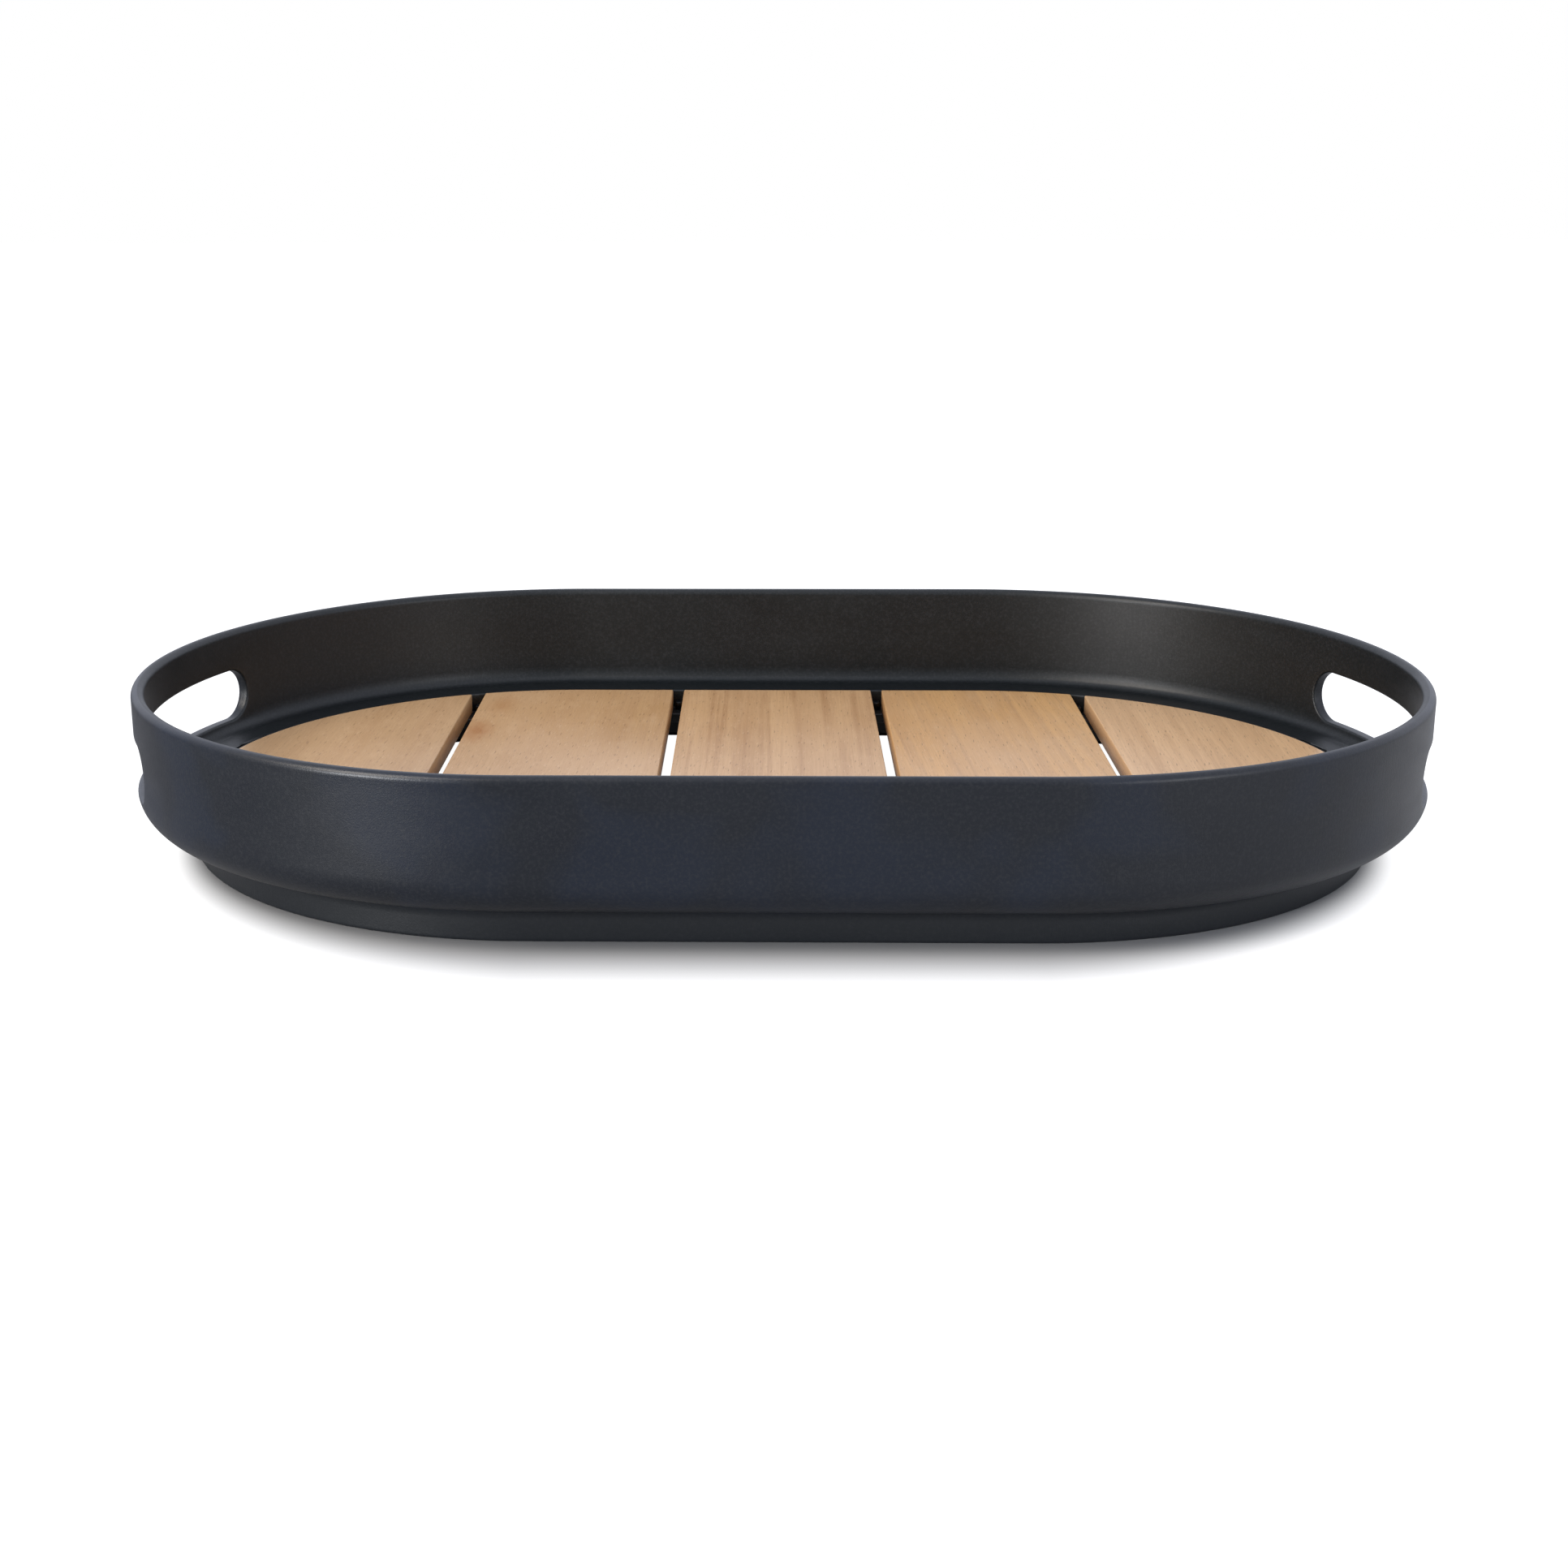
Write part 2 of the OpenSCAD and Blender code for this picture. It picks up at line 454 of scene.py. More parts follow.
@dataclass(frozen=True)
class MouldedPlastic:
    """Fine matt moulding, bluer outside than inside, whose inside is darkened as painted shade,
    with cloudy wiped patches.

    Attributes:
        outer: Colour of the outer wall.
        cloud: Colour of the cloudy patches on it.
        inner: Colour of the hollow and the underside, a darker copy of the moulding's colour:
            painted shade.
        foot: Colour of the foot ring and all below its top, painted paler: painted light against
            the shade under the wall.
        painted_sparkle: Colour of the fine pale specks all over: painted sparkle that stands in
            for the grain's glints.
        foot_z: Heights between which the foot ring's colour ends, in millimetres.
        rim_z: Heights between which the handled rim begins, in millimetres.
        roughness: Middle of the gloss range outside.
        hollow_roughness: Middle of the gloss range inside, where the grain is coarser.
        handled: What handling adds to the rim's roughness.
        bump: Strength of the grain's relief, and its depth in metres.
        ior: Index of refraction.
    """

    outer: Colour = (0.0044, 0.0064, 0.0108)
    cloud: Colour = (0.0050, 0.0086, 0.0175)
    inner: Colour = (0.0022, 0.0043, 0.0056)
    foot: Colour = (0.0130, 0.0155, 0.0190)
    painted_sparkle: Colour = (0.022, 0.024, 0.028)
    foot_z: Pair = (8.5, 13.5)
    rim_z: Pair = (57.5, 60.5)
    roughness: float = 0.36
    hollow_roughness: float = 0.42
    handled: float = 0.02
    bump: Pair = (0.40, 0.00010)
    ior: float = 1.45

    def material(self) -> bpy.types.Material:
        """Builds the nodes: tone by side (painted shade inside), height (painted light on the
        foot ring) and cloud, painted sparkle in pale specks, gloss by wiping, and a fine grain.

        Returns:
            The material.
        """
        s = Sheet("moulded_plastic")
        outside = s.node("Attribute", attribute_name="outside").outputs["Fac"]
        height = s.own("Z")
        patches = s.noise(s.place((22, 22, 26), (3.1, 0.4, 1.7)), 2.0, 0.5, 0.4)
        clouded = s.mix(s.ramp(patches, 0.46, 0.62), self.outer, self.cloud)
        # Painted shade: the hollow, the bed and the underside take the darker inner colour.
        tone = s.mix(outside, self.inner, clouded)
        low, high = (z * MM for z in self.foot_z)
        # Painted light: everything below the foot ring's top is painted paler, against the shade
        # under the wall.
        tone = s.mix(s.ramp(height, low, high, 1.0, 0.0), tone, self.foot)
        # Painted sparkle: pale specks stand in for the glints of the grain.
        specks = s.noise(s.place((900, 900, 900)), 2.0, 0.6)
        colour = s.mix(s.ramp(specks, 0.45, 0.75, 0.0, 0.45), tone, self.painted_sparkle)
        wiped = s.noise(s.place((14, 14, 40), (7.7, 2.2, 5.1)), 4.0, 0.6, 0.3)
        middle = s.ramp(outside, 0.0, 1.0, self.hollow_roughness, self.roughness)
        gloss = s.math("ADD", middle, s.ramp(wiped, 0.3, 0.7, -0.05, 0.07))
        low, high = (z * MM for z in self.rim_z)
        gloss = s.math("ADD", gloss, s.ramp(height, low, high, 0.0, self.handled))
        grain = s.noise(s.place((1900, 1900, 1900)), 2.0, 0.6)
        drawn = s.noise(s.place((1500, 1500, 60)), 2.0, 0.5)
        relief = s.math("ADD", grain, s.times(drawn, 0.5))
        return s.coat(colour, gloss, relief, self.bump, IOR=self.ior)


@dataclass(frozen=True)
class Beech:
    """Steamed beech, planed and thinly oiled, with its grain along Y.

    Attributes:
        name: Name of the slat that is cut from it.
        shift: Where on the plank the slat was cut, in pattern cells.
        figure: How its grain runs.
        light: Colour of the early wood.
        dark: Colour of the late wood.
        stains: Small tea stains on the deck: X and Y in millimetres, and strength.
        broad: Colour of the broad pale areas.
        mottle: Colour of the small pale areas.
        ray: Colour of the pale ray flecks.
        fine: Colour of the fine dark flecks.
        fleck: Colour of the larger dark flecks.
        stain: Colour of the stains.
        gloss: Least and greatest roughness.
        bump: Strength of the grain's relief, and its depth in metres.
        ior: Index of refraction.
        deck_z: Height of the deck, where the flecks' cells are not moved.
    """

    name: str
    shift: Triple
    figure: Figure = Figure.FLECKED
    light: Colour = (0.560, 0.338, 0.152)
    dark: Colour = (0.425, 0.225, 0.095)
    stains: tuple[Triple, ...] = ()
    broad: Colour = (0.68, 0.448, 0.255)
    mottle: Colour = (0.70, 0.472, 0.265)
    ray: Colour = (0.86, 0.650, 0.450)
    fine: Colour = (0.28, 0.140, 0.058)
    fleck: Colour = (0.19, 0.085, 0.032)
    stain: Colour = (0.40, 0.165, 0.045)
    gloss: Pair = (0.28, 0.38)
    bump: Pair = (0.30, 0.00010)
    ior: float = 1.58
    deck_z: float = 19.7

    def stained(self, s: Sheet) -> Socket:
        """Share of stain, which fades from each stain's middle and follows the grain.

        Args:
            s: The material's nodes.

        Returns:
            The share, from 0 to the strongest stain's strength.
        """
        ragged = s.times(s.noise(s.place((500, 160, 300)), 3.0, 0.6), 0.9)
        across, along = 110, 42
        share = 0.0
        for x, y, strength in self.stains:
            middle = s.place((across, along, 0), (-across * MM * x, -along * MM * y, 0))
            away = s.node("VectorMath", operation="LENGTH", Vector=middle).outputs["Value"]
            spot = s.ramp(s.math("ADD", away, ragged), 0.55, 1.35, strength, 0.0)
            share = s.math("MAXIMUM", share, spot)
        return share

    def flecks(self, s: Sheet, cells: Pair, turn: float, size: float) -> Socket:
        """Ray flecks: short strokes along the grain, one in some of the cells.

        The cells lean with depth, so that no stroke runs straight down a slat's side.

        Args:
            s: The material's nodes.
            cells: Cells to the metre across and along the grain.
            turn: Turn of the strokes from the grain, in degrees.
            size: Half width of a stroke, as a share of a cell.

        Returns:
            The share of fleck colour.
        """
        place = s.place((*cells, 1), self.shift, self.figure.turn + turn)
        sunk = s.times(s.math("SUBTRACT", s.own("Z"), self.deck_z * MM), cells[0])
        leaning = s.node("VectorMath", operation="ADD", Vector=place)
        s.feed(leaning.inputs[1], s.node("CombineXYZ", X=sunk).outputs[0])
        rays = s.node("TexVoronoi", voronoi_dimensions="2D", Vector=leaning.outputs[0], Scale=1.0)
        stroke = s.ramp(rays.outputs["Distance"], 0.5 * size, size, 1.0, 0.0)
        lot = s.node("SeparateXYZ", Vector=rays.outputs["Color"]).outputs["X"]
        return s.times(stroke, s.ramp(lot, 0.15, 0.60))

    def material(self) -> bpy.types.Material:
        """Builds the nodes: growth bands, stripes, fibres, pale areas, flecks and stains.

        Returns:
            The material.
        """
        s = Sheet("beech_" + self.name)
        turn = self.figure.turn
        band = s.noise(s.place((105, 2.6, 40), self.shift, turn), 2.0, 0.55, 0.5)
        stripe = s.noise(s.place((400, 4.5, 190), self.shift, turn), 3.0, 0.6)
        fibre = s.noise(s.place((1500, 45, 900), self.shift, turn), 3.0, 0.65)
        broad = s.noise(s.place((11, 7, 11), self.shift), 3.0, 0.55)
        mottle = s.noise(s.place((160, 60, 160), self.shift), 3.0, 0.6)
        fleck = self.flecks(s, (380, 42), 4.0, 0.095)
        fine = self.flecks(s, (640, 88), 2.0, 0.12)
        ray = self.flecks(s, (520, 60), 5.0, 0.11)
        layers = [
            (s.ramp(band, 0.40, 0.64, 0.0, self.figure.bands), self.dark),
            (s.ramp(stripe, 0.49, 0.66, 0.0, self.figure.stripes), self.dark),
            (s.ramp(fibre, 0.40, 0.72, 0.0, 0.28), tuple(0.7 * c for c in self.dark)),
            (s.ramp(broad, 0.36, 0.66, 0.0, 0.55), self.broad),
            (s.ramp(mottle, 0.52, 0.74, 0.0, 0.30), self.mottle),
            (s.times(ray, 0.30), self.ray),
            (s.times(fine, 0.52), self.fine),
            (s.times(fleck, 0.54), self.fleck),
        ]
        if self.stains:
            layers.append((self.stained(s), self.stain))
        tone = self.light
        for share, colour in layers:
            tone = s.mix(share, tone, colour)
        gloss = s.ramp(fibre, 0.3, 0.7, *self.gloss)
        relief = s.math("SUBTRACT", s.times(fibre, 0.8), fleck)
        return s.coat(tone, gloss, relief, self.bump, IOR=self.ior)


@dataclass(frozen=True)
class ZincPlate:
    """Bright zinc plating with a faint yellow bloom.

    Attributes:
        colour: Colour of the zinc.
        bloom: Colour of the bloom.
        gloss: Least and greatest roughness.
        bump: Strength of the turning marks' relief, and its depth in metres.
    """

    colour: Colour = (0.58, 0.59, 0.61)
    bloom: Colour = (0.62, 0.57, 0.47)
    gloss: Pair = (0.26, 0.42)
    bump: Pair = (0.2, 0.00003)

    def material(self) -> bpy.types.Material:
        """Builds the nodes: bloom in small clouds and fine turning marks.

        Returns:
            The material.
        """
        s = Sheet("zinc_plate")
        clouds = s.noise(s.place((420, 420, 420)), 3.0, 0.5)
        tone = s.mix(s.ramp(clouds, 0.4, 0.65), self.colour, self.bloom)
        gloss = s.ramp(clouds, 0.3, 0.7, *self.gloss)
        marks = s.noise(s.place((3000, 3000, 9000)), 2.0, 0.5)
        return s.coat(tone, gloss, marks, self.bump, Metallic=1.0)


# The tray's pieces


@dataclass
class MouldedBody:
    """Wall, rim, hand slots, ledge, slat bed and foot ring, in one moulding.

    Every size is in millimetres and is measured as on the frame.

    Attributes:
        outline: Outline of the outer wall.
        height: Height of the rim.
        wall: Thickness of the wall.
        rim_r: Round on both edges of the rim.
        turn_r: Round where the wall turns under.
        cove_r: Cove between the wall and the ledge.
        ledge_z: Height of the ledge round the slats.
        foot_h: Height of the foot ring.
        foot_in: Distance from the wall in to the foot ring.
        foot_t: Thickness of the foot ring.
        foot_r: Round on its edges.
        foot_fillet_r: Fillet above it.
        slot_l: Length of a hand slot.
        slot_h: Height of the slot.
        slot_z: Height of its middle.
        lip_r: Round on its lips.
        recess: Outline of the bed that the slats lie in.
        seat_z: Height of the shelf that they lie on.
        shelf_t: Thickness of the shelf.
        shelf_w: How far it reaches in from the foot ring.
        edge_r: Round on small edges.
        window_margin: Wall above and below a slot's lips that its window takes in.
        window_angle: Half the angle that the window spans, in degrees.
        lug_places: X of the slat gaps, with a spacer lug at each end of each gap.
        lug_w: Width of a lug.
        lug_l: How far it stands out of the bed's edge.
        lug_h: How high it stands over the shelf.
        off_window: Distance past a window of the next row of points. The same
            distances past the rounds keep the flats between them shaded flat.
        off_round: Distance past a large round.
        off_foot: Distance past a round of the foot ring or the cove.
        off_edge: Distance past a small edge.
        off_bed: Distance past the bed's edge.
        rows_in_window: Steps down a window.
        around: Steps over a slot, beside it, on to a quarter turn, and along a side.
        blend: Steps from the rim of a window to the slot's lip.
        finish: The moulding's looks.
    """

    outline: RoundEnded
    height: float
    wall: float = 4.8
    rim_r: float = 2.3
    turn_r: float = 11.0
    cove_r: float = 5.0
    ledge_z: float = 19.5
    foot_h: float = 14.0
    foot_in: float = 19.5
    foot_t: float = 6.7
    foot_r: float = 1.0
    foot_fillet_r: float = 6.0
    slot_l: float = 138.0
    slot_h: float = 20.4
    slot_z: float = 34.6
    lip_r: float = 1.0
    recess: RoundEnded = RoundEnded(85.7, 133.4)
    seat_z: float = 11.7
    shelf_t: float = 4.0
    shelf_w: float = 9.0
    edge_r: float = 0.5
    window_margin: float = 1.4
    window_angle: float = 29.0
    lug_places: tuple[float, ...] = (-131.25, -43.6, 43.6, 131.25)
    lug_w: float = 3.0
    lug_l: float = 4.5
    lug_h: float = 3.2
    off_window: float = 0.8
    off_round: float = 0.6
    off_foot: float = 0.5
    off_edge: float = 0.4
    off_bed: float = 2.0
    rows_in_window: int = 12
    around: tuple[int, int, int, int] = (18, 5, 49, 24)
    blend: int = 3
    finish: MouldedPlastic = MouldedPlastic()

    def outer_at(self, z: Array) -> Array:
        """Radius of the outer wall at height z: straight, then the turn's circle below."""
        below = np.clip(self.foot_h + self.turn_r - z, 0.0, self.turn_r)
        return self.outline.radius - self.turn_r + np.sqrt(self.turn_r**2 - below**2)

    def inner_at(self, z: Array) -> Array:
        """Radius of the inner wall at height z: straight, then the cove's circle below."""
        below = np.clip(self.ledge_z + self.cove_r - z, 0.0, self.cove_r)
        return self.outline.radius - self.wall - self.cove_r + np.sqrt(self.cove_r**2 - below**2)

    def window_rows(self) -> Array:
        """Heights of the grid rows that cross a hand slot's window, from the top down."""
        half = self.slot_h / 2 + self.lip_r + self.window_margin
        return np.linspace(self.slot_z + half, self.slot_z - half, self.rows_in_window + 1)

    def edge_angle(self) -> float:
        """Half the angle that a hand slot's straight edges span, in radians."""
        middle = self.outline.radius - self.wall / 2
        return math.asin(self.slot_l / 2 / middle) - math.asin(self.slot_h / 2 / middle)

    def stations(self) -> tuple[Array, Array]:
        """Places along the outline, once round from the middle of the right end.

        Returns:
            The angle of the outward normal in radians, and the share of end_x at
            which the section stands, one value for each station.
        """
        edge = math.degrees(self.edge_angle())
        over, beside, rest, side = (steps + 1 for steps in self.around)
        quarter = np.concatenate([
            np.linspace(0.0, edge, over),
            np.linspace(edge, self.window_angle, beside)[1:],
            np.linspace(self.window_angle, 90.0, rest)[1:],
        ])
        straight = np.linspace(1.0, -1.0, side)[1:-1]
        half_turn = np.concatenate([quarter, np.full(len(straight), 90.0), 180.0 - quarter[::-1]])
        half_lean = np.concatenate([np.ones(len(quarter)), straight, -np.ones(len(quarter))])
        turn = np.concatenate([half_turn, 180.0 + half_turn[1:-1]])
        lean = np.concatenate([half_lean, -half_lean[1:-1]])
        return np.radians(turn), lean

    def section(self) -> tuple[Array, Array, Array, Array]:
        """The closed section of the wall and the foot ring, from the rim's top outwards.

        It is a chain of arcs and lines, and each call's last number is its steps.

        Returns:
            Its points as (radius, height), the end_x that each is carried round,
            how far each lies on the outer side, and the numbers of the first
            points of the outer and the inner window.
        """
        r, t, e = self.outline.radius, self.height, self.edge_r
        rim, foot, fillet = self.rim_r, self.foot_r, self.foot_fillet_r
        off, off_foot, off_edge = self.off_round, self.off_foot, self.off_edge
        inner = r - self.wall
        ring, ring_in = r - self.foot_in, r - self.foot_in - self.foot_t
        shelf = ring_in - self.shelf_w
        below = self.seat_z - self.shelf_t
        bed = self.recess.radius
        rows = self.window_rows()
        outer_rows = np.stack([self.outer_at(rows), rows], axis=-1)
        inner_rows = np.stack([self.inner_at(rows), rows], axis=-1)[::-1]
        turn_c = (r - self.turn_r, self.foot_h + self.turn_r)
        turn_start = math.degrees(math.asin((rows[-1] - turn_c[1]) / self.turn_r))
        cove_c = (inner - self.cove_r, self.ledge_z + self.cove_r)
        cove_end = math.degrees(math.asin((rows[-1] - cove_c[1]) / self.cove_r))
        outer_parts = [
            arc((r - rim, t - rim), rim, 90, 0, 9),
            line((r, t - rim - off), (r, rows[0] + self.off_window), 5),
            outer_rows,
            arc(turn_c, self.turn_r, turn_start, -90, 16)[1:],
            line((turn_c[0] - off, self.foot_h), (ring + fillet + off, self.foot_h), 1),
            arc((ring + fillet, self.foot_h - fillet), fillet, 90, 180, 8),
            line((ring, self.foot_h - fillet - off), (ring, foot + off_foot), 3),
            arc((ring - foot, foot), foot, 0, -90, 5),
        ]
        under_parts = [
            line((ring - foot - off_foot, 0), (ring_in + foot + off_foot, 0), 2),
            arc((ring_in + foot, foot), foot, -90, -180, 5),
            line((ring_in, foot + off_foot), (ring_in, below - foot - off_foot), 2),
            arc((ring_in - foot, below - foot), foot, 0, 90, 5),
            line((ring_in - foot - off_edge, below), (shelf + e + off_edge, below), 3),
            arc((shelf + e, below + e), e, -90, -180, 4),
            arc((shelf + e, self.seat_z - e), e, 180, 90, 4),
            line((shelf + e + off_edge, self.seat_z), (ring_in, self.seat_z), 2),
        ]
        bed_parts = [
            line((bed - off_edge, self.seat_z), (bed, self.seat_z), 1),
            line((bed, self.seat_z + off_edge), (bed, self.ledge_z - e - off_edge), 3),
            arc((bed + e, self.ledge_z - e), e, 180, 90, 4),
        ]
        inner_parts = [
            line((bed + e + self.off_bed, self.ledge_z), (cove_c[0] - off_foot, self.ledge_z), 5),
            arc(cove_c, self.cove_r, -90, cove_end, 8)[:-1],
            inner_rows,
            line((inner, rows[0] + self.off_window), (inner, t - rim - off), 5),
            arc((inner + rim, t - rim), rim, 180, 90, 9),
        ]
        groups = (outer_parts, under_parts, bed_parts, inner_parts)
        points = np.concatenate([p for group in groups for p in group])
        counts = [sum(len(p) for p in group) for group in groups]
        wall_x, bed_x = self.outline.end_x, self.recess.end_x
        carried = np.repeat([wall_x, wall_x, bed_x, wall_x], counts)
        outside = np.repeat([1.0, 0.0, 0.0, 0.0], counts)
        first_outer = sum(len(p) for p in outer_parts[:2])
        first_inner = sum(counts[:3]) + sum(len(p) for p in inner_parts[:2])
        return points, carried, outside, np.array([first_outer, first_inner])

    def carry(self, turn: Array, lean: Array, points: Array, carried: Array) -> Array:
        """Carries section points round the outline.

        A point with radius r and height z, at a station with normal angle a and
        share w, lies at (w * carried + r * cos a, r * sin a, z).

        Args:
            turn: Angles of the stations.
            lean: Shares of end_x of the stations.
            points: Section points, broadcast against the stations.
            carried: The end_x of each section point.

        Returns:
            Array of points in space.
        """
        r, z = points[..., 0], points[..., 1]
        x = lean * carried + r * np.cos(turn)
        y = r * np.sin(turn)
        return np.stack([x, y, np.broadcast_to(z, x.shape)], axis=-1)

    def window(self) -> tuple[Array, Array, Array]:
        """The rim of a hand slot's window, clockwise from its upper left corner.

        Each of its points has a partner on the slot's outline, which lies from the
        slot's middle line in a direction of its own: straight up over the middle,
        straight down under it, and turning evenly through a half circle at each end.

        Returns:
            The points' angles round the end's axis, their heights, and the angles
            of their partners' directions, which turn from along the wall upwards.
        """
        turn, _ = self.stations()
        last = int(np.argmin(np.abs(turn - math.radians(self.window_angle))))
        across = np.concatenate([-turn[last:0:-1], turn[: last + 1]])
        rows = self.window_rows()
        width, depth = len(across) - 1, len(rows) - 1
        angle = np.concatenate([
            across[:-1], np.full(depth, across[-1]), across[:0:-1], np.full(depth, across[0])
        ])
        height = np.concatenate([
            np.full(width, rows[0]), rows[:-1], np.full(width, rows[-1]), rows[:0:-1]
        ])
        level = np.isclose(height, rows[0]) | np.isclose(height, rows[-1])
        middle = level & (np.abs(angle) <= self.edge_angle() + 1e-9)
        count = len(angle)
        number = np.arange(count)
        over = number[middle & (height > self.slot_z)]
        under = number[middle & (height < self.slot_z)]
        right = np.arange(over.max(), under.min() + 1)
        left = np.arange(under.max(), count + over.min() + 1)
        towards = np.zeros(count)
        towards[right] = np.linspace(QUARTER, -QUARTER, len(right))
        towards[left % count] = np.linspace(-QUARTER, -3 * QUARTER, len(left))
        towards[over] = QUARTER
        towards[under] = -QUARTER
        return angle, height, towards

    def slot_tube(self, side: Side) -> tuple[Array, Array, Array]:
        """Surface from a window in the outer wall, through the slot, to the inner one.

        Each of its points has an angle a round the end's axis, a height z and a depth
        into the wall. The rim of the window blends into the slot's outline, which
        is widened by a quarter circle at both lips. The outline is straight between
        the edge angles, and past them a half circle laid on the wall.

        Args:
            side: Which end the slot is in.

        Returns:
            Its points, its faces and how far each point lies on the outer side.
        """
        rim_angle, rim_height, towards = self.window()
        lip = np.linspace(0.0, QUARTER, 7)
        wide = self.lip_r * (1.0 - np.sin(lip))
        deep = self.lip_r * (1.0 - np.cos(lip))
        inward = self.wall - self.lip_r + deep[-1] - deep[::-1]
        widen = np.concatenate([wide, [0.0, 0.0], wide[::-1]])
        depth = np.concatenate([deep, [0.4 * self.wall, 0.6 * self.wall], inward])
        grow = np.linspace(0.0, 1.0, self.blend + 1)[:-1]
        share = np.concatenate([grow, np.ones(len(depth)), grow[::-1]])[:, None]
        widen = np.pad(widen, self.blend, constant_values=self.lip_r)[:, None]
        depth = np.pad(depth, self.blend, constant_values=(0.0, self.wall))[:, None]
        reach = self.slot_h / 2 + widen
        edge = self.edge_angle()
        angle = np.clip(rim_angle, -edge, edge)
        angle = angle + reach * np.cos(towards) / (self.outline.radius - depth)
        height = self.slot_z + reach * np.sin(towards)
        angle = share * angle + (1.0 - share) * rim_angle
        height = share * height + (1.0 - share) * rim_height
        part = depth / self.wall
        r = (1.0 - part) * self.outer_at(height) + part * self.inner_at(height)
        if side is Side.LEFT:
            angle = angle + math.pi
        lean = np.full_like(angle, float(side.value))
        section = np.stack([r, height], axis=-1)
        points = self.carry(angle, lean, section, np.array(self.outline.end_x))
        faces = grid_faces(*height.shape, wrap=True)
        return points, faces, np.broadcast_to(1.0 - part, height.shape)

    def lug(self, x: float, side: int) -> tuple[Array, Array]:
        """A spacer lug: a round-nosed upright post with an eased top, rooted in the bed's edge.

        Its outline is a half circle and two straight flanks, drawn in by the top's
        round, and each ring of it is a copy at another height. The first and the
        last ring have no width and close it.

        Args:
            x: Where the gap lies that holds it.
            side: The sign of Y.

        Returns:
            Its points and its faces.
        """
        root = float(self.recess.reach(np.array([x]))[0])
        half, ease = self.lug_w / 2, self.edge_r
        nose = np.linspace(math.pi, 2 * math.pi, 17)
        nx = np.append(np.cos(nose), [1.0, -1.0])
        ny = np.append(np.sin(nose), [0.0, 0.0])
        start = np.append(np.full(len(nose), root - self.lug_l + half), [root + half] * 2)
        a = np.linspace(0.0, QUARTER, 5)
        inset = np.concatenate([[half, 0.0], ease * (1.0 - np.cos(a)), [half]])
        top = self.seat_z + self.lug_h
        low = self.seat_z - self.edge_r
        z = np.concatenate([[low, low], top - ease + ease * np.sin(a), [top]])
        reach = (half - inset)[:, None]
        px = x + reach * nx
        py = side * (start + reach * ny)
        pz = np.broadcast_to(z[:, None], px.shape)
        return np.stack([px, py, pz], axis=-1), grid_faces(len(z), len(nx), wrap=True)

    def build(self) -> bpy.types.Object:
        """Puts the carried section, the two slots and the lugs together in one piece.

        The section's faces inside the slots' windows are left out, and the surfaces
        of the slots begin at the rims of those windows.

        Returns:
            The body.
        """
        points, carried, outside, first = self.section()
        turn, lean = self.stations()
        surface = self.carry(turn[:, None], lean[:, None], points, carried)
        rows, columns = surface.shape[:2]
        closed = np.concatenate([surface, surface[:1]])
        faces = grid_faces(rows + 1, columns, wrap=True)
        station = np.repeat(np.arange(rows), columns)
        place = np.tile(np.arange(columns), rows)
        middle = np.degrees(0.5 * (turn + np.append(turn[1:], 2 * math.pi)))
        near = np.minimum(np.abs((middle + 90.0) % 180.0 - 90.0), 90.0) < self.window_angle
        crossing = np.zeros(columns, bool)
        for start in first:
            crossing[start : start + self.rows_in_window] = True
        kept = ~(near[station] & crossing[place])
        shell = Shell()
        shell.add(closed, faces[kept], np.broadcast_to(outside, closed.shape[:-1]))
        for side in Side:
            shell.add(*self.slot_tube(side))
        for x in self.lug_places:
            for sign in (-1, 1):
                shell.add(*self.lug(x, sign))
        return shell.to_object("moulded_body")

    def dress(self, piece: bpy.types.Object) -> None:
        """Gives the built body its finish, and puts it in place of the frame's node."""
        dress(piece, self.finish.material())
        stand_in(piece, "tray_body")


